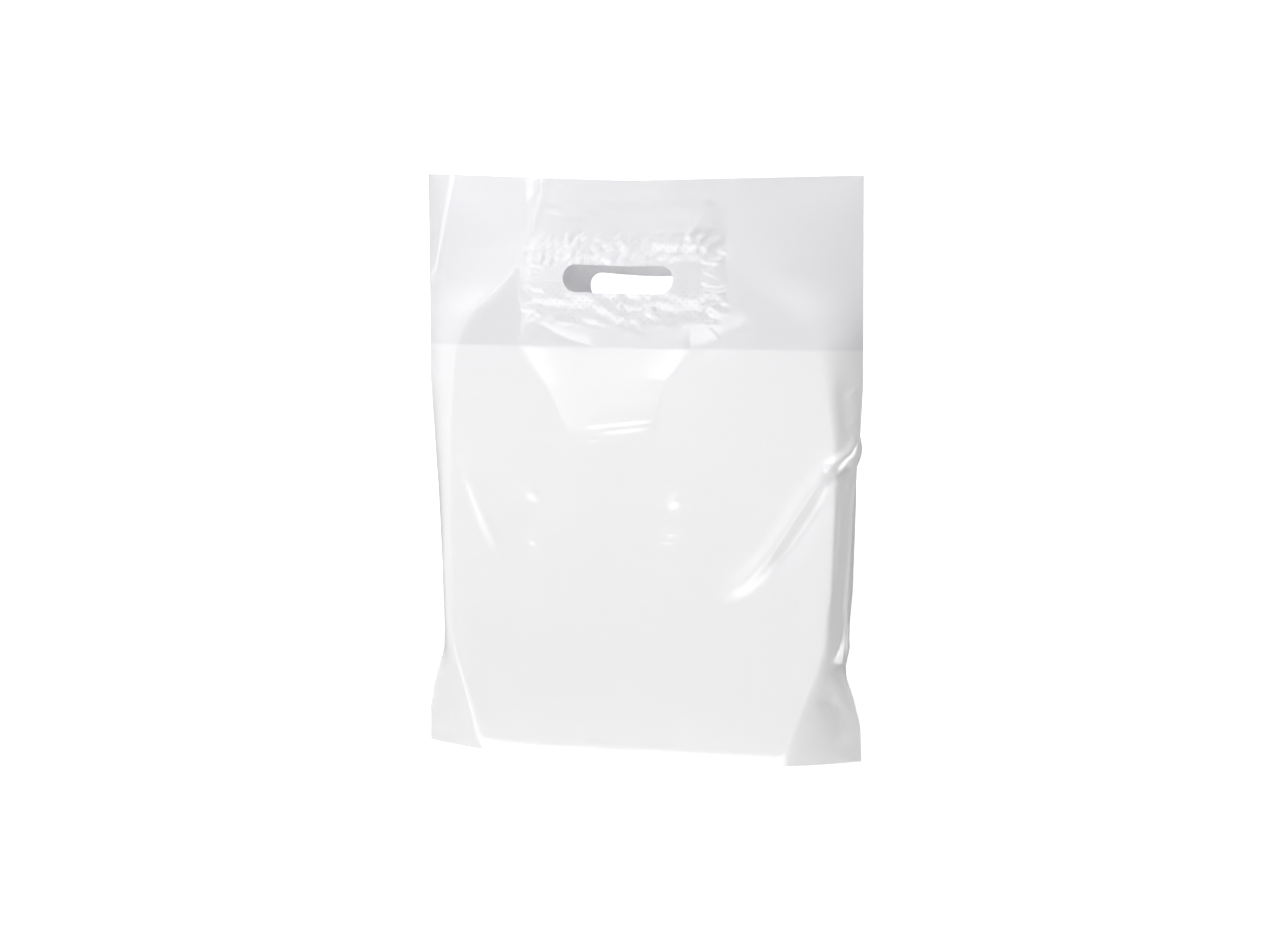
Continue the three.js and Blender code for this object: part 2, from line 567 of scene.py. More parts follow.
@dataclass(frozen=True)
class Ledge:
    """A strip of wall that leans out, or in, between two levels, with ragged ends.

    Args:
        left, right: its ends, in millimetres.
        foot, head: its lowest and highest level.
        lean: how far it comes out for each millimetre up; negative leans in.
        back: how far above its head the wall is back in line.
        soft: how far its ends take to die away.
    """

    left: float
    right: float
    foot: float
    head: float
    lean: float
    back: float = 20.0
    soft: float = 8.0

    def height(self, x: np.ndarray, z: np.ndarray) -> np.ndarray:
        """How far the film is moved outwards at each point.

        Args:
            x: places across the bag.
            z: heights above the floor.

        Returns:
            The outward move in millimetres.
        """
        wander = 1.3 * np.sin(x / 4.7) + 0.9 * np.sin(x / 2.1 + 1.0)
        rise = np.clip(z + wander - self.foot, 0, self.head - self.foot) * self.lean
        rise *= 1 - smoothstep(self.head, self.head + self.back, z)
        across = x + 1.5 * np.sin(z / 2.3) + 1.1 * np.sin(z / 1.1)
        sides = smoothstep(self.left - self.soft, self.left, across)
        return rise * sides * (1 - smoothstep(self.right, self.right + self.soft, across))


@dataclass(frozen=True)
class HandleField:
    """The stiff doubled film round the hand slot, which stands out from the slack film beside it.

    Args:
        left, right: points (x, z) of its side edges, from the top down.
        foot, head: the levels between which it comes out.
        rise: how far it stands out above its head.
    """

    left: Path
    right: Path
    foot: float
    head: float
    rise: float

    def height(self, x: np.ndarray, z: np.ndarray) -> np.ndarray:
        """How far the film is moved outwards at each point.

        Args:
            x: places across the bag.
            z: heights above the floor.

        Returns:
            The outward move in millimetres.
        """
        share = share_to_side(self.left, self.right, x, z)
        up = np.clip((z - self.foot) / (self.head - self.foot), 0, 1)
        return self.rise * (1 - share**4) * up


@dataclass(frozen=True)
class Apron:
    """The taut film that leaves the filled part below the handle and leans out to it.

    Args:
        left, right: points (x, z) of its side edges, from the top down.
        top: level of the goods' top edge.
        foot: level at which it starts.
        rise: how far it stands out at the top edge.
        back: how far above the top edge it joins the wall.
    """

    left: Path
    right: Path
    top: float
    foot: float
    rise: float
    back: float

    def height(self, x: np.ndarray, z: np.ndarray) -> np.ndarray:
        """How far the film is moved outwards at each point.

        Args:
            x: places across the bag.
            z: heights above the floor.

        Returns:
            The outward move in millimetres.
        """
        share = share_to_side(self.left, self.right, x, z)
        up = np.clip((z - self.foot) / (self.top - self.foot), 0, 1) ** 1.35
        above = 1 - np.clip((z - self.top) / self.back, 0, 1)
        return self.rise * (1 - share**3) * up * above


Mark = Crease | Swell | Crumple | Ledge | HandleField | Apron
SOFT, SHARP, FLAP = Profile.SOFT, Profile.SHARP, Profile.FLAP

FRONT_MARKS: tuple[Mark, ...] = (
    # the taut apron below the handle, and the soft folds that run down from it
    Apron(
        left=((-98.6, 320), (-74.8, 290), (-57, 255), (-49, 228), (-46, 170)),
        right=((51, 320), (30, 296), (21, 265), (17, 245), (13, 170)),
        top=320,
        foot=215,
        rise=2.9,
        back=95,
    ),
    Crease(((-49, 232), (-48, 200), (-50, 160)), 0.35, 6, SOFT, 0.4),
    Crease(((16, 250), (13, 220), (11, 185)), 0.35, 5, SOFT, 0.4),
    Crease(((-42, 259), (19, 266)), 0.4, 3.4, FLAP, 0.15),
    Crease(((-30, 254.5), (19, 260)), 0.3, 2.6, FLAP, 0.25),
    Crease(((-40, 247), (-26, 249)), 0.25, 1.6, SHARP, 0.4),
    # the long fold from the right edge, and the hollow beside it
    Crease(
        ((182, 258), (163, 225), (142, 195), (119, 163), (98, 141), (64, 124)),
        1.6,
        6.9,
        SOFT,
        0.3,
    ),
    Crease(((176, 228), (160, 200), (140, 172), (112, 146)), -0.9, 10, SOFT, 0.35),
    Crease(((-152, 241), (-138, 205), (-115, 151.5)), 1.15, 5, SOFT, 0.4),
    # the film drawn in above the filled part, beside the apron
    Crease(((46, 315), (75, 328), (110, 344)), -0.9, 9, SOFT, 0.3),
    # small dents and glints in the body
    Swell(-88, 206, 7, 5, 0.7, -40),
    Swell(37, 202, 5.5, 4, 0.9, 35),
    Crease(((28, 176), (44, 178)), 0.35, 2.4, FLAP, 0.3),
    Crease(((24, 170), (38, 170.5)), 0.3, 2.2, FLAP, 0.3),
    Swell(-87, 168, 4, 3, 0.45, -30),
    # the stiff field round the hand slot, and the fold down its left side
    HandleField(
        left=((-80, 452), (-77, 440), (-88, 415), (-97, 397), (-99, 368), (-97, 345), (-101, 321)),
        right=((72, 452), (74, 430), (82, 410), (80, 395), (84, 366), (81, 345), (74, 321)),
        foot=321,
        head=363,
        rise=3.4,
    ),
    Crease(((-79, 452), (-76, 440), (-87, 415), (-96, 398)), 0.8, 4.2, SOFT, 0.1),
    Crease(((-72, 424.5), (-56, 423), (-34, 421.5)), 0.4, 3.4, FLAP, 0.15),
    Crease(((-72, 441), (-62, 440), (-50, 437)), 0.35, 3.4, FLAP, 0.25),
    Crease(((-66, 449.5), (-50, 447), (-38, 447.5)), 0.3, 3.0, FLAP, 0.25),
    Crease(((-74, 434), (-66, 431), (-58, 432)), 0.35, 4.0, FLAP, 0.3),
    # puckers where the weld stops, left
    Crease(((-98, 397), (-88, 394), (-76, 388)), 0.5, 5.0, FLAP, 0.2),
    Crease(((-94, 387), (-86, 385), (-76, 384)), 0.3, 2.8, FLAP, 0.25),
    Crease(((-93, 380), (-84, 378), (-76, 379)), 0.25, 2.4, FLAP, 0.25),
    Crease(((-101, 369), (-84, 371), (-58, 371.5)), 0.35, 3.2, FLAP, 0.25),
    Crease(((-100, 366), (-90, 363), (-81, 356)), 0.5, 5.2, FLAP, 0.2),
    Crease(((-96, 343), (-86, 345), (-77, 348)), 0.5, 5.0, FLAP, 0.2),
    Crease(((-105, 324), (-96, 331), (-88, 336)), 0.4, 4.5, FLAP, 0.25),
    # puckers where the weld stops, right
    Crease(((48, 404), (57, 416), (67, 430)), 0.5, 5.0, FLAP, 0.2),
    Crease(((60, 436), (67, 437), (75, 434)), 0.35, 4.5, FLAP, 0.25),
    Crease(((62, 424), (70, 422), (78, 418)), 0.3, 3.6, FLAP, 0.25),
    Crease(((66, 398), (74, 404), (80, 412)), 0.22, 4.5, FLAP, 0.25),
    Crease(((66, 388), (74, 389), (81, 392)), 0.4, 3.4, FLAP, 0.25),
    Crease(((84, 367), (76, 366), (58, 368)), -0.35, 3.6, FLAP, 0.2),
    Crease(((60, 366), (74, 364.5), (84, 366)), 0.45, 4.6, FLAP, 0.2),
    Crease(((54, 354), (68, 353), (80, 349)), 0.4, 4.0, FLAP, 0.2),
    Crease(((62, 340), (70, 334), (77, 326)), 0.22, 4.0, FLAP, 0.25),
    # the welded field itself: mottled above the slot, streaked below it
    Ledge(-74, 54, 387, 406, 0.048, 30, 22.0),
    Ledge(28, 58, 389, 405, 0.05, 30, 20.0),
    Crumple(-58, 396, 27, 16, 8.0, 0.26, -40, 13, 3),
    Crumple(-16, 396, 19, 15, 9.0, 0.24, -60, 40, 5),
    Crumple(9, 399, 12, 14, 9.5, 0.22, -38, 16, 7),
    Crumple(48, 399, 34, 15, 8.5, 0.12, -45, 26, 11),
    Crumple(-87, 372, 14, 34, 7.5, 0.16, 82, 16, 21),
    Crumple(73, 372, 14, 36, 7.5, 0.16, 85, 16, 23),
    Crumple(30, 428, 50, 24, 22.0, 0.12, 70, 35, 41),
    Crumple(-45, 436, 40, 18, 11.0, 0.14, 78, 22, 43),
    Crumple(0, 350, 84, 15, 11.0, 0.12, 75, 35, 13),
    Ledge(-3, 13, 332, 360, -0.035, 14, 5.0),
    Crumple(5, 346, 12, 17, 9.0, 0.1, 75, 35, 17),
    Ledge(26, 66, 341.5, 348.5, -0.09, 8, 6.0),
    Ledge(-74, -34, 343.5, 350, -0.08, 8, 7.0),
    Ledge(-72, -24, 370, 384, -0.03, 8, 9.0),
    Crease(((-82, 340), (-66, 331), (-50, 325), (-30, 321)), -0.5, 5.0, SHARP, 0.2),
)

# across here is measured along the film, because the film turns the corner
SIDE_MARKS: tuple[Mark, ...] = (
    Crease(((160, 228), (170, 235), (180, 243), (190, 254)), 2.6, 4.2, SOFT, 0.2),
    Crease(((162, 218), (174, 226), (186, 236)), -2.0, 6.0, SOFT, 0.25),
    Crease(((172, 300), (176, 270), (182, 248)), -1.6, 6.0, SOFT, 0.3),
    Crease(((186, 292), (176, 284)), 0.9, 3.0, SHARP, 0.3),
    Crease(((187, 268), (178, 262)), 0.8, 3.0, SHARP, 0.3),
    Crease(((178, 235), (177, 180), (174, 120), (172, 85)), -1.7, 6.0, SOFT, 0.2),
    Crease(((189, 120), (182, 95), (173, 78)), 1.4, 4.0, SHARP, 0.3),
    Crease(((173, 76), (181, 60), (186, 40)), 1.3, 4.0, SHARP, 0.3),
    Crease(((165, 62), (176, 40), (180, 16)), -1.8, 7.0, SOFT, 0.3),
    Crease(((-166, 70), (-174, 58), (-184, 48)), 1.0, 4.5, SHARP, 0.3),
    Crease(((-160, 40), (-172, 24), (-184, 16)), -0.9, 7.0, SOFT, 0.3),
    Crease(((-186, 310), (-178, 300), (-168, 296)), -0.8, 5.0, SHARP, 0.3),
)

REAR_MARKS: tuple[Mark, ...] = (
    Apron(
        left=((-70, 320), (-46, 285), (-34, 245), (-30, 170)),
        right=((66, 320), (48, 290), (36, 250), (32, 170)),
        top=320,
        foot=215,
        rise=2.2,
        back=40,
    ),
    Crease(((-176, 246), (-150, 205), (-118, 160), (-80, 138)), 1.9, 9, SOFT, 0.35),
    Crease(((168, 236), (140, 190), (120, 150)), 1.1, 8, SOFT, 0.35),
    Crease(((-52, 316), (-84, 330), (-112, 344)), -0.8, 9, SOFT, 0.3),
    Crease(((56, 316), (86, 331), (116, 343)), -0.8, 9, SOFT, 0.3),
    Crease(((-78, 452), (-82, 425), (-92, 400)), 0.7, 4.5, SOFT, 0.15),
    Crease(((70, 440), (76, 415), (80, 392)), 0.6, 4.5, SOFT, 0.15),
    Crease(((-98, 372), (-84, 368), (-70, 369)), 0.55, 3.2, SHARP, 0.3),
    Crease(((-96, 345), (-84, 348), (-72, 347)), 0.5, 3.2, SHARP, 0.3),
    Crease(((84, 378), (74, 374), (60, 375)), 0.55, 3.2, SHARP, 0.3),
    Crease(((82, 352), (72, 350), (58, 352)), 0.5, 3.2, SHARP, 0.3),
    HandleField(
        left=((-74, 452), (-84, 410), (-92, 366), (-88, 321)),
        right=((78, 452), (84, 410), (90, 366), (86, 321)),
        foot=321,
        head=363,
        rise=3.2,
    ),
    Crumple(-50, 396, 32, 15, 8.0, 0.11, -45, 20, 31),
    Crumple(34, 396, 34, 15, 8.5, 0.11, 50, 24, 33),
    Crumple(0, 352, 80, 15, 10.0, 0.06, 70, 40, 35),
    Swell(60, 210, 8, 6, 0.5, 30),
    Swell(-40, 190, 7, 6, 0.5, -30),
)


@dataclass
class HandSlot:
    """The oval hand slot, in millimetres, on film laid flat.

    Args:
        x, height: its middle, across and along the film.
        length, width: its size from end to end and from edge to edge.
        pull: how near to its edge a cut vertex is moved onto it.
    """

    x: float
    height: float
    length: float = 95.0
    width: float = 21.5
    pull: float = 3.0

    def outline_distance(self, x: np.ndarray, h: np.ndarray) -> np.ndarray:
        """Signed distance to the slot's edge.

        Args:
            x: places across the flat film.
            h: places along it.

        Returns:
            The distance in millimetres, negative inside the slot.
        """
        straight = (self.length - self.width) / 2
        dx = np.maximum(np.abs(x - self.x) - straight, 0)
        return np.hypot(dx, h - self.height) - self.width / 2

    def onto_outline(self, x: float, h: float) -> tuple[float, float]:
        """The point of the slot's edge nearest to a point.

        Args:
            x: the point's place across the flat film.
            h: its place along it.

        Returns:
            The nearest point's place across and along.
        """
        straight = (self.length - self.width) / 2
        core = min(max(x, self.x - straight), self.x + straight)
        dx, dh = x - core, h - self.height
        reach = math.hypot(dx, dh) or 1.0
        return core + dx / reach * self.width / 2, self.height + dh / reach * self.width / 2

    def punch(self, piece: bpy.types.Object) -> None:
        """Punches the slot out of a flat sheet whose x and y are film millimetres.

        Args:
            piece: the flat sheet, which is changed.
        """
        mesh = bmesh.new()
        mesh.from_mesh(piece.data)
        middles = [(f, f.calc_center_median()) for f in mesh.faces]
        inside = [f for f, m in middles if self.outline_distance(m.x, m.y) < 0]
        bmesh.ops.delete(mesh, geom=inside, context="FACES")
        for vertex in mesh.verts:
            x, h = vertex.co.x, vertex.co.y
            if vertex.is_boundary and abs(self.outline_distance(x, h)) < self.pull:
                vertex.co.x, vertex.co.y = self.onto_outline(x, h)
        mesh.to_mesh(piece.data)
        mesh.free()


def graded(edges: Path, end: float) -> np.ndarray:
    """Places along a line, closer together where it is asked for.

    Args:
        edges: (start, spacing) of each stretch, in order.
        end: where the last stretch ends.

    Returns:
        The places, from the first start to the end.
    """
    stops = [e[0] for e in edges[1:]] + [end]
    places = []
    for (start, spacing), stop in zip(edges, stops):
        count = max(1, round(abs(stop - start) / spacing))
        places.extend(np.linspace(start, stop, count, endpoint=False))
    return np.array([*places, end])


def flat_sheet(name: str, columns: np.ndarray, rows: np.ndarray) -> bpy.types.Object:
    """A flat sheet of film with its vertices at the given columns and rows.

    Args:
        name: the piece's name.
        columns: places across it.
        rows: places along it.

    Returns:
        The sheet, with x and y in film millimetres.
    """
    deselect_all()
    across, along = len(columns) - 1, len(rows) - 1
    bpy.ops.mesh.primitive_grid_add(x_subdivisions=across, y_subdivisions=along, size=1)
    sheet = bpy.context.object
    sheet.name = sheet.data.name = name
    co = np.zeros(len(sheet.data.vertices) * 3, np.float32)
    sheet.data.vertices.foreach_get("co", co)
    co = co.reshape(-1, 3)
    column = np.rint((co[:, 0] + 0.5) * across).astype(int)
    row = np.rint((co[:, 1] + 0.5) * along).astype(int)
    co[:, 0], co[:, 1] = columns[column], rows[row]
    sheet.data.vertices.foreach_set("co", co.ravel())
    return sheet


@dataclass(frozen=True)
class Zone:
    """A rectangle of flat film whose faces are cut finer.

    Args:
        left, right: its sides, across the film.
        low, high: its ends, along the film.
        cuts: how many times each edge in it is cut.
    """

    left: float
    right: float
    low: float
    high: float
    cuts: int = 1

    def cut(self, sheet: bpy.types.Object) -> None:
        """Subdivides the sheet's faces whose middles are in the zone.

        Args:
            sheet: the flat sheet, which is changed.
        """
        deselect_all()
        sheet.select_set(True)
        bpy.context.view_layer.objects.active = sheet
        bpy.ops.object.mode_set(mode="EDIT")
        mesh = bmesh.from_edit_mesh(sheet.data)
        for face in mesh.faces:
            middle = face.calc_center_median()
            face.select = self.left < middle.x < self.right and self.low < middle.y < self.high
        bmesh.update_edit_mesh(sheet.data)
        bpy.ops.mesh.subdivide(number_cuts=self.cuts)
        bpy.ops.object.mode_set(mode="OBJECT")


def flat_places(sheet: bpy.types.Object) -> np.ndarray:
    """The places of a sheet's vertices.

    Args:
        sheet: the sheet.

    Returns:
        One row of x, y and z for each vertex.
    """
    co = np.zeros(len(sheet.data.vertices) * 3, np.float32)
    sheet.data.vertices.foreach_get("co", co)
    return co.reshape(-1, 3).astype(float)


def put_places(sheet: bpy.types.Object, places: np.ndarray) -> None:
    """Moves a sheet's vertices.

    Args:
        sheet: the sheet, which is changed.
        places: one row for each vertex, in millimetres.
    """
    sheet.data.vertices.foreach_set("co", (places * MM).astype(np.float32).ravel())
    sheet.data.update()


@dataclass
class DressedWall:
    """A wall with everything that is pressed into it or stands out of it, in millimetres.

    Args:
        form: the filled-out form.
        side: which wall.
        marks: the marks of its face.
        side_marks: the marks of its sides, where the film turns the corner.
        face_ends: where the face's marks start to die away, and where they are gone.
        weld_reach: how far from a side weld the film is still held flat by it.
        slack, fine_slack: how far untaut film wanders, in its long and short waves.
    """

    form: FilledForm
    side: Wall
    marks: tuple[Mark, ...]
    side_marks: tuple[Mark, ...]
    face_ends: tuple[float, float] = (158.0, 176.0)
    weld_reach: float = 5.0
    slack: float = 0.09
    fine_slack: float = 0.018

    def __post_init__(self) -> None:
        """Samples the bare wall."""
        self.bare = WallMap(self.form, self.side)

    def place(self, across: np.ndarray, height: np.ndarray, inwards: float = 0.0) -> np.ndarray:
        """Where bits of film lie.

        Args:
            across: their distances along the film from the middle.
            height: their distances up the film from the bottom fold.
            inwards: how far inside the film's outer face, in millimetres.

        Returns:
            Points in millimetres.
        """
        points, normals = self.bare.read(across, height)
        x, z = points[:, 0], points[:, 2]
        face = 1 - smoothstep(*self.face_ends, np.abs(across))
        move = sum((m.height(x, z) for m in self.marks), np.zeros(x.shape)) * face
        move = move + sum((m.height(across, z) for m in self.side_marks), np.zeros(x.shape))
        move = move + self.slackness(x, z)
        to_weld = self.form.half_flat - np.abs(across)
        at_weld = 1 - np.exp(-((to_weld / self.weld_reach) ** 2))
        moved = points + normals * (move * at_weld - inwards)[:, None]
        weld = -self.form.flare(across, height) + self.side.value * self.form.weld_gap
        inside = (moved[:, 1] - weld) * self.side.value < 0
        moved[inside, 1] = weld[inside]
        return moved

    def slackness(self, x: np.ndarray, z: np.ndarray) -> np.ndarray:
        """The faint unevenness of film that isn't quite taut.

        Args:
            x: places across the bag.
            z: heights above the floor.

        Returns:
            The outward move in millimetres.
        """
        phase = 0.0 if self.side is Wall.FRONT else 1.7
        wave = np.sin(x / 17.0 + z / 41.0 + phase) * np.sin(z / 23.0 - x / 53.0 + 2 * phase)
        fine = np.sin(x / 7.3 - z / 11.0 + phase) * np.sin(z / 8.1 + x / 19.0)
        return self.slack * wave + self.fine_slack * fine


@dataclass
class FilmBag:
    """The bag's one web of film: front wall, tucked-up bottom fold and rear wall.

    Args:
        form: the filled-out form.
        slot_x, slot_z: the middle of each hand slot, on the film.
        thickness: the film's thickness, drawn a little over the real one.
        mesh_width: the size of a face where the film is plain.
        patch_mesh_width: the size of a face of a patch.
        patch_gap: how far a patch lies inside the film's inner face.
        bead_radius: the radius of a side weld's bead.
    """

    form: FilledForm
    slot_x: float
    slot_z: float
    thickness: float = 0.12
    mesh_width: float = 4.95
    patch_mesh_width: float = 2.4
    patch_gap: float = 0.06
    bead_radius: float = 0.4

    def __post_init__(self) -> None:
        """Gets both walls ready."""
        self.front = DressedWall(self.form, Wall.FRONT, FRONT_MARKS, SIDE_MARKS)
        self.rear = DressedWall(self.form, Wall.REAR, REAR_MARKS, SIDE_MARKS)

    def flat_web(self) -> bpy.types.Object:
        """Makes the flat web, finer where it is creased, with both hand slots punched.

        Returns:
            The web, with x across and y along it from the front mouth to the rear mouth.
        """
        half, top, fold = self.form.half_flat, self.form.film_height, 2 * self.form.gusset
        columns = graded(((-half, self.mesh_width),), half)
        front = graded(((0, 2.0), (14, self.mesh_width)), top)
        tuck = np.linspace(0, fold, 17)[1:-1]
        rows = np.concatenate([-front[::-1], tuck, fold + front])
        web = flat_sheet("bag_film_web", columns, rows)
        finer = (
            Zone(-112, 96, -top, -312),  # the front wall round its hand slot
            Zone(-86, 82, -412, -316),  # the welded field in it, once more
            Zone(-160, 200, -312, -118),  # the front wall's long folds
            Zone(-64, 60, -322, -240),  # the taut apron, once more
            Zone(20, 56, -214, -160),  # the dents right of the middle
            Zone(-102, -76, -216, -160),  # and left of it
            Zone(150, 200, -312, 0),  # the right side, with its creases
            Zone(-112, 96, fold + 312, fold + top),  # the rear wall round its hand slot
        )
        for zone in finer:
            zone.cut(web)
        for height in (-self.slot_z, fold + self.slot_z):
            HandSlot(self.slot_x, height).punch(web)
        return web

    def tucked(self, across: np.ndarray, length: np.ndarray) -> np.ndarray:
        """Where bits of the bottom fold lie, tucked up between the walls.

        Args:
            across: their distances along the film from the middle.
            length: their distances past the front fold.

        Returns:
            Points in millimetres.
        """
        fold = self.form.gusset
        share = 1 - np.abs(length - fold) / fold
        side = np.where(length < fold, Wall.FRONT.value, Wall.REAR.value)
        start = self.front.place(across, 0 * across)
        beside = self.front.place(across, share * fold)
        half = np.abs(start[:, 1])
        y = np.maximum(half * (1 - share), self.form.weld_gap * 0.5 * (1 - share))
        up = share * np.sqrt(fold**2 - half**2)
        x = start[:, 0] * (1 - share) + beside[:, 0] * share
        x = np.where(half < 3, beside[:, 0], x)
        return np.stack([x, side * y, self.form.lift(x, up) + up], axis=1)

    def build(self) -> bpy.types.Object:
        """Makes the whole web, folded and welded.

        Returns:
            The finished film.
        """
        film = self.flat_web()
        flat = flat_places(film)
        across, length = flat[:, 0], flat[:, 1]
        fold = 2 * self.form.gusset
        placed = np.zeros(flat.shape)
        front, rear = length <= 0, length >= fold
        tuck = ~front & ~rear
        placed[front] = self.front.place(across[front], -length[front])
        placed[tuck] = self.tucked(across[tuck], length[tuck])
        placed[rear] = self.rear.place(across[rear], length[rear] - fold)
        put_places(film, placed)
        apply_modifier(film, "SOLIDIFY", thickness=self.thickness * MM, offset=-1)
        self.smooth(film)
        return film

    def smooth(self, piece: bpy.types.Object) -> None:
        """Shades a piece smooth, apart from its cut edges.

        Args:
            piece: the piece.
        """
        deselect_all()
        piece.select_set(True)
        bpy.context.view_layer.objects.active = piece
        bpy.ops.object.shade_smooth_by_angle(angle=math.radians(60))

    def weld_bead(self, across: float, name: str) -> bpy.types.Object:
        """Makes the thin bead that the hot knife leaves where it welds and cuts a side.

        Args:
            across: which side edge, as a distance along the film.
            name: the bead's name.

        Returns:
            The bead.
        """
        levels = graded(((0, 3.0),), self.form.film_height)
        edge = across + 0 * levels
        seam = (self.front.place(edge, levels) + self.rear.place(edge, levels)) / 2
        turns = np.linspace(0, 2 * math.pi, 9)
        bead = flat_sheet(name, turns, levels)
        flat = flat_places(bead)
        places = np.stack([np.interp(flat[:, 1], levels, seam[:, i]) for i in range(3)], axis=1)
        places[:, 0] += self.bead_radius * np.cos(flat[:, 0])
        places[:, 1] += self.bead_radius * np.sin(flat[:, 0])
        put_places(bead, places)
        deselect_all()
        bead.select_set(True)
        bpy.context.view_layer.objects.active = bead
        bpy.ops.object.mode_set(mode="EDIT")
        bpy.ops.mesh.select_all(action="SELECT")
        bpy.ops.mesh.remove_doubles(threshold=0.01 * MM)
        bpy.ops.mesh.select_all(action="DESELECT")
        bpy.ops.mesh.select_non_manifold()
        bpy.ops.mesh.edge_face_add()
        bpy.ops.mesh.select_all(action="SELECT")
        bpy.ops.mesh.normals_make_consistent(inside=False)
        bpy.ops.object.mode_set(mode="OBJECT")
        self.smooth(bead)
        return bead

    def patch(self, side: Wall, name: str) -> bpy.types.Object:
        """Makes the patch of film that is welded inside a wall behind its hand slot.

        Args:
            side: which wall.
            name: the patch's name.

        Returns:
            The patch.
        """
        wall = self.front if side is Wall.FRONT else self.rear
        low, high = (np.array(corner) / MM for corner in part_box("front_handle_patch"))
        columns = graded(((low[0], self.patch_mesh_width),), high[0])
        rows = graded(((low[2], self.patch_mesh_width),), high[2])
        patch = flat_sheet(name, columns, rows)
        HandSlot(self.slot_x, self.slot_z).punch(patch)
        flat = flat_places(patch)
        placed = wall.place(flat[:, 0], flat[:, 1], inwards=self.thickness + self.patch_gap)
        put_places(patch, placed)
        if side is Wall.REAR:
            patch.data.flip_normals()
        apply_modifier(patch, "SOLIDIFY", thickness=self.thickness * MM, offset=-1)
        self.smooth(patch)
        return patch


# ---------------------------------------------------------------- finishes


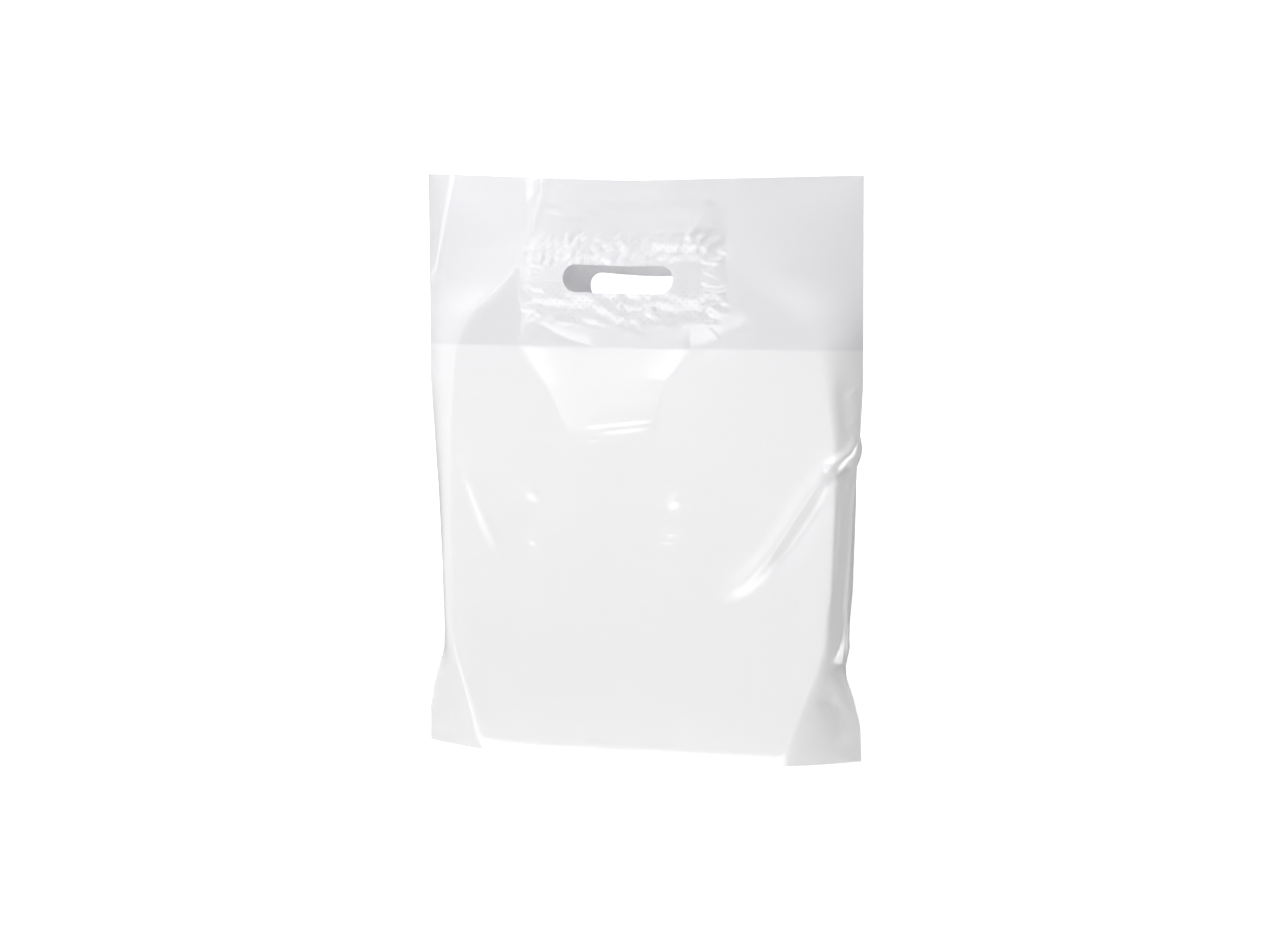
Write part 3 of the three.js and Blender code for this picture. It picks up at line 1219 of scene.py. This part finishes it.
@dataclass(frozen=True)
class BlownFilm:
    """Blown polyethylene film, white with titanium dioxide.

    It comes off the bubble glossy on both faces, so the eye gets sharp bright reflections, soft
    white below them, and some light from behind. Its white is painted lighter below the fill level,
    as painted light from the goods that would fill the bag, and a little lighter again over the
    welded field, as painted light from the patch on top of what the built patch returns. Its weld
    dots are painted darker, for the fused film and as painted shade in their dimples. Distances are
    in metres.

    Args:
        name: the material's name.
        painted_goods_light_white, free, doubled: its white over the filled part, painted lighter
            there
        for the light that the goods would give from behind; its white above it; and its white over
        the welded field, painted lighter there as painted light from the backing patch, on top of
        the light that the built patch returns.
        doubled_middle, doubled_half: the middle and half size, x and z, of the backed part.
        backed_blur: how far the backed part's edge is drawn out to each side.
        fill_level: the height to which the bag is filled.
        level_blur: how far the change there is drawn out to each side.
        through, through_free: the colour of light let through, below and above that height; the
        lighter one below is painted light from the goods behind.
        share_through: the share of the film's light that comes through it.
        roughness, ior: those of its skin.
        dot_pitch, dot_rows: distance between weld dots in a row, and between rows.
        dot_radius, dot_depth: their size; they are drawn deeper than real ones, to show.
        fused_dot_with_painted_shade: its colour where a dot has melted the two films together,
            painted darker also as painted shade in the dot's pressed dimple.
        dot_patches: how many patches of stronger dots there are to a metre, roughly.
        line_scale: stretch of the extrusion lines' pattern along x, y and z.
        line_depth: how deep the extrusion lines are.
        weld_x, weld_z: the sides and ends of the field of dots.
    """

    name: str = "blown_white_polyethylene"
    # painted light: white below the fill level, lighter for light from the goods behind the film
    painted_goods_light_white: str = "f5f5f6"
    free: str = "eaeaec"
    # painted light: lighter over the welded field, for light from the patch behind it
    doubled: str = "f0f0f2"
    doubled_middle: tuple[float, float] = (-0.007, 0.364)
    doubled_half: tuple[float, float] = (0.088, 0.041)
    backed_blur: float = 0.008
    fill_level: float = 0.3205
    level_blur: float = 0.0012
    # painted light: more light let through below the fill level, as if from the goods
    through: str = "fbfbfb"
    through_free: str = "f6f6f7"
    share_through: float = 0.5
    roughness: float = 0.04
    ior: float = 1.51
    dot_pitch: float = 0.0066
    dot_rows: float = 0.003
    dot_radius: float = 0.001
    dot_depth: float = 0.00018
    # darker weld dots: the fused film, and painted shade in their dimples
    fused_dot_with_painted_shade: str = "e9e9ec"
    dot_patches: float = 45.0
    line_scale: tuple[float, float, float] = (260.0, 260.0, 14.0)
    line_depth: float = 0.00001
    weld_x: tuple[float, float] = (-0.078, 0.073)
    weld_z: tuple[float, float] = (0.338, 0.404)

    def material(self) -> bpy.types.Material:
        """Makes the film's material.

        Returns:
            The material.
        """
        made = bpy.data.materials.new(self.name)
        made.use_nodes = True
        tree = made.node_tree
        tree.nodes.clear()
        place = add_node(tree, "ShaderNodeTexCoord").outputs["Object"]
        height = add_node(tree, "ShaderNodeSeparateXYZ", {0: place}).outputs["Z"]
        above = add_node(
            tree,
            "ShaderNodeMapRange",
            {"Value": height},
            interpolation_type="SMOOTHSTEP",
            inputs={
                "From Min": self.fill_level - self.level_blur,
                "From Max": self.fill_level + self.level_blur,
            },
        )
        # painted light over the welded field: the free white is lifted towards the doubled white
        # there
        unfilled_white_with_painted_patch_light = add_node(
            tree,
            "ShaderNodeMix",
            {0: self.backed(tree, place)},
            data_type="RGBA",
            inputs={6: linear(self.free), 7: linear(self.doubled)},
        )
        # painted light below the fill level: the film is painted whiter where goods would light it
        # from behind
        white = add_node(
            tree,
            "ShaderNodeMix",
            {0: above.outputs[0], 7: unfilled_white_with_painted_patch_light.outputs[2]},
            data_type="RGBA",
            inputs={6: linear(self.painted_goods_light_white)},
        )
        dots, relief = self.relief(tree, place)
        # painted shade in the weld dots' dimples, with the fused film's colour
        colour = add_node(
            tree,
            "ShaderNodeMix",
            {0: dots, 6: white.outputs[2]},
            data_type="RGBA",
            inputs={7: linear(self.fused_dot_with_painted_shade)},
        )
        skin = add_node(
            tree,
            "ShaderNodeBsdfPrincipled",
            {"Base Color": colour.outputs[2], "Normal": relief},
            inputs={"Roughness": self.roughness, "IOR": self.ior, "Specular IOR Level": 1.0},
        )
        # painted light: more light let through below the fill level
        passed = add_node(
            tree,
            "ShaderNodeMix",
            {0: above.outputs[0]},
            data_type="RGBA",
            inputs={6: linear(self.through), 7: linear(self.through_free)},
        )
        glow = add_node(tree, "ShaderNodeBsdfTranslucent", {"Color": passed.outputs[2]})
        mixed = add_node(
            tree,
            "ShaderNodeMixShader",
            {1: skin.outputs[0], 2: glow.outputs[0]},
            inputs={0: self.share_through},
        )
        add_node(tree, "ShaderNodeOutputMaterial", {"Surface": mixed.outputs[0]})
        return made

    def backed(self, tree: bpy.types.NodeTree, place: bpy.types.NodeSocket) -> bpy.types.NodeSocket:
        """How far each place is within the welded field, where two films back one another; it masks
        the painted light there.

        Args:
            tree: the material's node tree.
            place: places on the bag.

        Returns:
            From 0 outside it to 1 inside it.
        """
        x, _, z = add_node(tree, "ShaderNodeSeparateXYZ", {0: place}).outputs
        shares = []
        for reading, middle, half in zip((x, z), self.doubled_middle, self.doubled_half):
            off = add_node(
                tree, "ShaderNodeMath", {0: reading}, operation="SUBTRACT", inputs={1: middle}
            )
            away = add_node(tree, "ShaderNodeMath", {0: off.outputs[0]}, operation="ABSOLUTE")
            share = add_node(
                tree,
                "ShaderNodeMapRange",
                {"Value": away.outputs[0]},
                interpolation_type="SMOOTHSTEP",
                inputs={"From Min": half + self.backed_blur, "From Max": half - self.backed_blur},
            )
            shares.append(share.outputs[0])
        both = add_node(tree, "ShaderNodeMath", {0: shares[0], 1: shares[1]}, operation="MULTIPLY")
        return both.outputs[0]

    def relief(
        self, tree: bpy.types.NodeTree, place: bpy.types.NodeSocket
    ) -> tuple[bpy.types.NodeSocket, bpy.types.NodeSocket]:
        """The film's finest relief: the dots of the patch weld, and the lines of the extrusion.

        Args:
            tree: the material's node tree.
            place: places on the bag.

        Returns:
            How far each place is within a dot, and the normal that the relief gives.
        """
        x, _, z = add_node(tree, "ShaderNodeSeparateXYZ", {0: place}).outputs

        def maths(operation: str, first: Reading, second: Reading = 0.0) -> bpy.types.NodeSocket:
            """Adds one step of arithmetic.

            Args:
                operation: what it does.
                first, second: what it does it to, sockets or numbers.

            Returns:
                Its result.
            """
            node = add_node(tree, "ShaderNodeMath", operation=operation)
            for slot, value in enumerate((first, second)):
                if isinstance(value, bpy.types.NodeSocket):
                    tree.links.new(value, node.inputs[slot])
                else:
                    node.inputs[slot].default_value = value
            return node.outputs[0]

        row = maths("DIVIDE", z, self.dot_rows)
        odd = maths("MULTIPLY", maths("FLOORED_MODULO", maths("FLOOR", row), 2.0), 0.5)
        column = maths("ADD", maths("DIVIDE", x, self.dot_pitch), odd)
        du = maths("MULTIPLY", maths("SUBTRACT", maths("FRACT", column), 0.5), self.dot_pitch)
        dv = maths("MULTIPLY", maths("SUBTRACT", maths("FRACT", row), 0.5), self.dot_rows)
        reach = maths("SQRT", maths("ADD", maths("MULTIPLY", du, du), maths("MULTIPLY", dv, dv)))
        dot = add_node(
            tree,
            "ShaderNodeMapRange",
            {"Value": reach},
            interpolation_type="SMOOTHSTEP",
            inputs={"From Min": self.dot_radius, "From Max": 0.3 * self.dot_radius},
        ).outputs[0]
        for reading, low, high in ((x, *self.weld_x), (z, *self.weld_z)):
            dot = maths("MULTIPLY", dot, maths("GREATER_THAN", reading, low))
            dot = maths("MULTIPLY", dot, maths("LESS_THAN", reading, high))
        worn = add_node(
            tree,
            "ShaderNodeTexNoise",
            {0: place},
            inputs={"Scale": self.dot_patches, "Detail": 1.0, "Roughness": 0.5},
        )
        strength = self.ramp(tree, worn.outputs[0])
        dot = maths("MULTIPLY", dot, strength)
        stretched = add_node(
            tree, "ShaderNodeMapping", {0: place}, inputs={"Scale": self.line_scale}
        )
        lines = add_node(
            tree,
            "ShaderNodeTexNoise",
            {0: stretched.outputs[0]},
            inputs={"Scale": 1.0, "Detail": 2.0, "Roughness": 0.5},
        )
        pressed = maths("MULTIPLY", dot, -self.dot_depth)
        total = maths("ADD", pressed, maths("MULTIPLY", lines.outputs[0], self.line_depth))
        bump = add_node(
            tree, "ShaderNodeBump", {"Height": total}, inputs={"Strength": 1.0, "Distance": 1.0}
        )
        return dot, bump.outputs[0]

    def ramp(self, tree: bpy.types.NodeTree, noise: bpy.types.NodeSocket) -> bpy.types.NodeSocket:
        """Turns noise into how strongly the dots are pressed from place to place.

        Args:
            tree: the material's node tree.
            noise: the noise.

        Returns:
            From 0, not pressed, to 1.
        """
        ramp = add_node(
            tree, "ShaderNodeMapRange", {"Value": noise}, inputs={"From Min": 0.3, "From Max": 0.55}
        )
        return ramp.outputs[0]


# The patches are blown polyethylene too, thicker and so whiter and less see-through than the walls;
# their white is also painted lighter, as painted light that lifts the shaded inside of the hand
# slot.
PATCH_FILM_PAINTED_LIGHTER = BlownFilm(
    name="heavy_white_polyethylene_patch", free="fcfcfc", through_free="fdfdfd"
)


@dataclass(frozen=True)
class TableTop:
    """Cast opal acrylic lit from below: the eye gets an even white with no shadows on it."""

    name: str = "lit_opal_acrylic"
    colour: str = "ffffff"
    glow: float = 1.06

    def material(self) -> bpy.types.Material:
        """Makes the table's material.

        Returns:
            The material.
        """
        made = bpy.data.materials.new(self.name)
        made.use_nodes = True
        tree = made.node_tree
        tree.nodes.clear()
        lit = add_node(
            tree, "ShaderNodeEmission", inputs={"Color": linear(self.colour), "Strength": self.glow}
        )
        add_node(tree, "ShaderNodeOutputMaterial", {"Surface": lit.outputs[0]})
        return made


# ---------------------------------------------------------------- the studio


@dataclass(frozen=True)
class LightCard:
    """A soft light seen from the bag between two bearings and two heights, at one distance.

    Args:
        name: the lamp's name.
        bearing: its middle, in degrees round from the front, positive to the bag's right.
        height: its middle, in degrees above the level of the bag's middle.
        wide: degrees across.
        high: degrees from bottom to top.
        distance: metres.
        glow: radiance in watts per square metre per steradian.
    """

    name: str
    bearing: float
    height: float
    wide: float
    high: float
    distance: float
    glow: float

    def build(self, middle: Vector) -> None:
        """Hangs the card, facing the bag.

        Args:
            middle: the point that it faces.
        """
        a, e = math.radians(self.bearing), math.radians(self.height)
        away = Vector((math.sin(a) * math.cos(e), -math.cos(a) * math.cos(e), math.sin(e)))
        width = 2 * self.distance * math.tan(math.radians(self.wide) / 2)
        height = 2 * self.distance * math.tan(math.radians(self.high) / 2)
        deselect_all()
        bpy.ops.object.light_add(type="AREA", location=middle + away * self.distance)
        lamp = bpy.context.object
        lamp.name = self.name
        lamp.data.shape = "RECTANGLE"
        lamp.data.size, lamp.data.size_y = width, height
        lamp.data.energy = self.glow * math.pi * width * height
        lamp.rotation_euler = away.to_track_quat("Z", "Y").to_euler()
        lamp.visible_camera = False


@dataclass(frozen=True)
class Studio:
    """The table, the lights, the surroundings and the camera.

    The surroundings are drawn by direction. A direction's upward part runs from -1, straight down,
    to 1, and its part to the right or to the rear runs the same way.

    Args:
        azimuth, distance: where the camera stands, in degrees round to the right and in metres.
        eye_height, aim_height, aim_x: its height, and the point that it looks at.
        lens: its focal length in millimetres.
        table_radius: metres.
        backdrop: the white that the camera sees past the table.
        room, paper: the glow behind the camera and the glow behind the bag.
        room_span: the parts to the rear between which one becomes the other.
        table_glow, table_span: the glow from the table, and where it starts and is full.
        table_far, far_span: the glow of the panel let into the table, near the level, and its span.
        table_mid, mid_span: what the panel's nearer part adds, and its span.
        panel_end: where the panel fades out towards the bag.
        panel_bearing, panel_half, panel_blur: its middle, half width and edge, in degrees.
        key_glow, key_span: the upper left glow, and its span by likeness of direction.
        key_bearing, key_height: its middle, in degrees.
        right_shade, shade_span: what is left of the surroundings to the right, and its span.
        cards: the soft lights.
    """

    azimuth: float = 26.5
    distance: float = 4.574
    eye_height: float = 0.4868
    aim_height: float = 0.2238
    aim_x: float = -0.0024
    lens: float = 165.05
    table_radius: float = 1.9
    backdrop: float = 1.3
    room: float = 0.36
    paper: float = 0.42
    room_span: Span = (-0.3, 0.9)
    table_glow: float = 1.34
    table_span: Span = (-0.2, -0.4)
    table_far: float = 1.5
    far_span: Span = (-0.095, -0.11)
    table_mid: float = 3.4
    mid_span: Span = (-0.13, -0.22)
    panel_end: Span = (-0.45, -0.8)
    panel_bearing: float = -30.0
    panel_half: float = 18.0
    panel_blur: float = 5.0
    key_glow: float = 6.2
    key_span: Span = (0.8, 0.96)
    key_bearing: float = -28.0
    key_height: float = 64.0
    right_shade: float = 0.92
    shade_span: Span = (0.15, 0.85)
    cards: tuple[LightCard, ...] = (
        LightCard("left_strip_softbox", -46.5, 2.0, 3.2, 32.0, 9.0, 2.8),
        LightCard("left_fill_softbox", -38, 50, 34, 34, 0.95, 2.2),
        LightCard("overhead_softbox", 0, 86, 50, 50, 2.6, 0.3),
    )

    def build(self) -> bpy.types.Object:
        """Sets the whole studio up.

        Returns:
            The table, which is the only piece of it with a surface.
        """
        bpy.context.scene.view_settings.view_transform = "Standard"
        self.add_camera()
        self.add_surroundings()
        for card in self.cards:
            card.build(Vector((0, 0, self.aim_height)))
        return self.add_table()

    def add_camera(self) -> None:
        """Stands the camera where the bag is seen from its front and a little from its right."""
        a = math.radians(self.azimuth)
        rise = self.eye_height - self.aim_height
        aim = Vector((self.aim_x * math.cos(a), self.aim_x * math.sin(a), self.aim_height))
        back = Vector((math.sin(a) * self.distance, -math.cos(a) * self.distance, rise))
        bpy.ops.object.camera_add(location=aim + back)
        camera = bpy.context.object
        camera.name = "studio_camera"
        camera.data.lens = self.lens
        camera.rotation_euler = back.to_track_quat("Z", "Y").to_euler()
        bpy.context.scene.camera = camera

    def add_surroundings(self) -> None:
        """Lights the bag from all round: a dim room, a bright table below, a glow upper left."""
        world = bpy.data.worlds.new("white_studio")
        bpy.context.scene.world = world
        world.use_nodes = True
        tree = world.node_tree
        tree.nodes.clear()
        direction = add_node(tree, "ShaderNodeTexCoord").outputs["Generated"]
        parts = add_node(tree, "ShaderNodeSeparateXYZ", {0: direction})
        room = self.glow(tree, parts.outputs["Y"], self.room_span, (self.room, self.paper))
        table = self.glow(tree, parts.outputs["Z"], self.table_span, (0.0, self.table_glow))
        panel = self.panel(tree, direction, parts.outputs["Z"])
        a, e = math.radians(self.key_bearing), math.radians(self.key_height)
        key = (math.sin(a) * math.cos(e), -math.cos(a) * math.cos(e), math.sin(e))
        towards = add_node(
            tree, "ShaderNodeVectorMath", {0: direction}, operation="DOT_PRODUCT", inputs={1: key}
        )
        upper = self.glow(tree, towards.outputs["Value"], self.key_span, (0.0, self.key_glow))
        lower = add_node(tree, "ShaderNodeMath", {0: room, 1: table}, operation="ADD")
        lower = add_node(tree, "ShaderNodeMath", {0: lower.outputs[0], 1: panel}, operation="ADD")
        shade = self.glow(tree, parts.outputs["X"], self.shade_span, (1.0, self.right_shade))
        total = add_node(
            tree,
            "ShaderNodeMath",
            {0: lower.outputs[0], 1: shade, 2: upper},
            operation="MULTIPLY_ADD",
        )
        white = (1.0, 1.0, 1.0, 1.0)
        around = add_node(
            tree, "ShaderNodeBackground", {"Strength": total.outputs[0]}, inputs={"Color": white}
        )
        behind = add_node(
            tree, "ShaderNodeBackground", inputs={"Color": white, "Strength": self.backdrop}
        )
        path = add_node(tree, "ShaderNodeLightPath")
        mixed = add_node(
            tree,
            "ShaderNodeMixShader",
            {0: path.outputs["Is Camera Ray"], 1: around.outputs[0], 2: behind.outputs[0]},
        )
        add_node(tree, "ShaderNodeOutputWorld", {"Surface": mixed.outputs[0]})

    def panel(
        self, tree: bpy.types.NodeTree, direction: bpy.types.NodeSocket, level: bpy.types.NodeSocket
    ) -> bpy.types.NodeSocket:
        """The lit panel let into the table in front of the bag, which the bag's film mirrors.

        Args:
            tree: the surroundings' node tree.
            direction: the direction looked in.
            level: its upward part.

        Returns:
            The panel's glow.
        """
        b = math.radians(self.panel_bearing)
        aside = add_node(
            tree,
            "ShaderNodeVectorMath",
            {0: direction},
            operation="DOT_PRODUCT",
            inputs={1: (math.cos(b), math.sin(b), 0.0)},
        )
        away = add_node(tree, "ShaderNodeMath", {0: aside.outputs["Value"]}, operation="ABSOLUTE")
        near = math.sin(math.radians(self.panel_half - self.panel_blur))
        far = math.sin(math.radians(self.panel_half + self.panel_blur))
        within = self.glow(tree, away.outputs[0], (near, far), (1.0, 0.0))
        start = self.glow(tree, level, self.far_span, (0.0, self.table_far))
        brighter = self.glow(tree, level, self.mid_span, (0.0, self.table_mid))
        end = self.glow(tree, level, self.panel_end, (1.0, 0.0))
        lit = add_node(tree, "ShaderNodeMath", {0: start, 1: brighter}, operation="ADD")
        lit = add_node(tree, "ShaderNodeMath", {0: lit.outputs[0], 1: end}, operation="MULTIPLY")
        seen = {0: lit.outputs[0], 1: within}
        return add_node(tree, "ShaderNodeMath", seen, operation="MULTIPLY").outputs[0]

    def glow(
        self,
        tree: bpy.types.NodeTree,
        reading: bpy.types.NodeSocket,
        span: Span,
        glows: tuple[float, float],
    ) -> bpy.types.NodeSocket:
        """A smooth change of glow along one reading of a direction.

        Args:
            tree: the surroundings' node tree.
            reading: the reading.
            span: where the change starts and ends.
            glows: the glow at its start and at its end.

        Returns:
            The glow.
        """
        change = add_node(
            tree,
            "ShaderNodeMapRange",
            {"Value": reading},
            interpolation_type="SMOOTHSTEP",
            inputs={
                "From Min": span[0],
                "From Max": span[1],
                "To Min": glows[0],
                "To Max": glows[1],
            },
        )
        return change.outputs[0]

    def add_table(self) -> bpy.types.Object:
        """Lays the round table top, with the bag at its middle.

        Returns:
            The table.
        """
        deselect_all()
        bpy.ops.mesh.primitive_circle_add(vertices=128, radius=self.table_radius, fill_type="NGON")
        table = bpy.context.object
        table.name = "table_top"
        table.data.materials.append(TableTop().material())
        table.visible_diffuse = table.visible_glossy = table.visible_transmission = False
        return table


# ---------------------------------------------------------------- putting it together


def slot_middle() -> tuple[float, float]:
    """The hand slot's middle, from the record's opening for it.

    Returns:
        Its x and z in millimetres.
    """
    openings = frame["record"]["physics"]["openings"]
    low, high = next(o["box_m"] for o in openings if o["name"] == "front_hand_slot")
    return (low[0] + high[0]) / 2 / MM, (low[2] + high[2]) / 2 / MM


def main() -> None:
    """Builds the bag and its studio, and reports each piece."""
    logging.basicConfig(level=logging.INFO, format="%(name)s: %(message)s")
    bag = FilmBag(FilledForm(), *slot_middle())
    film = bag.build()
    film.data.materials.append(BlownFilm().material())
    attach(film, "root")
    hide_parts("bag_film")
    LOG.info("%s: %d faces", film.name, len(film.data.polygons))
    for side, across in (("left", -bag.form.half_flat), ("right", bag.form.half_flat)):
        bead = bag.weld_bead(across, side + "_weld_bead")
        bead.data.materials.append(film.data.materials[0])
        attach(bead, "root")
        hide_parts("bag_film")
        LOG.info("%s: %d faces", bead.name, len(bead.data.polygons))
    heavy = PATCH_FILM_PAINTED_LIGHTER.material()
    for side, node in ((Wall.FRONT, "front_handle_patch"), (Wall.REAR, "rear_handle_patch")):
        patch = bag.patch(side, node + "_film")
        patch.data.materials.append(heavy)
        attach(patch, "root")
        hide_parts(node)
        LOG.info("%s: %d faces", patch.name, len(patch.data.polygons))
    table = Studio().build()


if __name__ == "__main__":
    main()
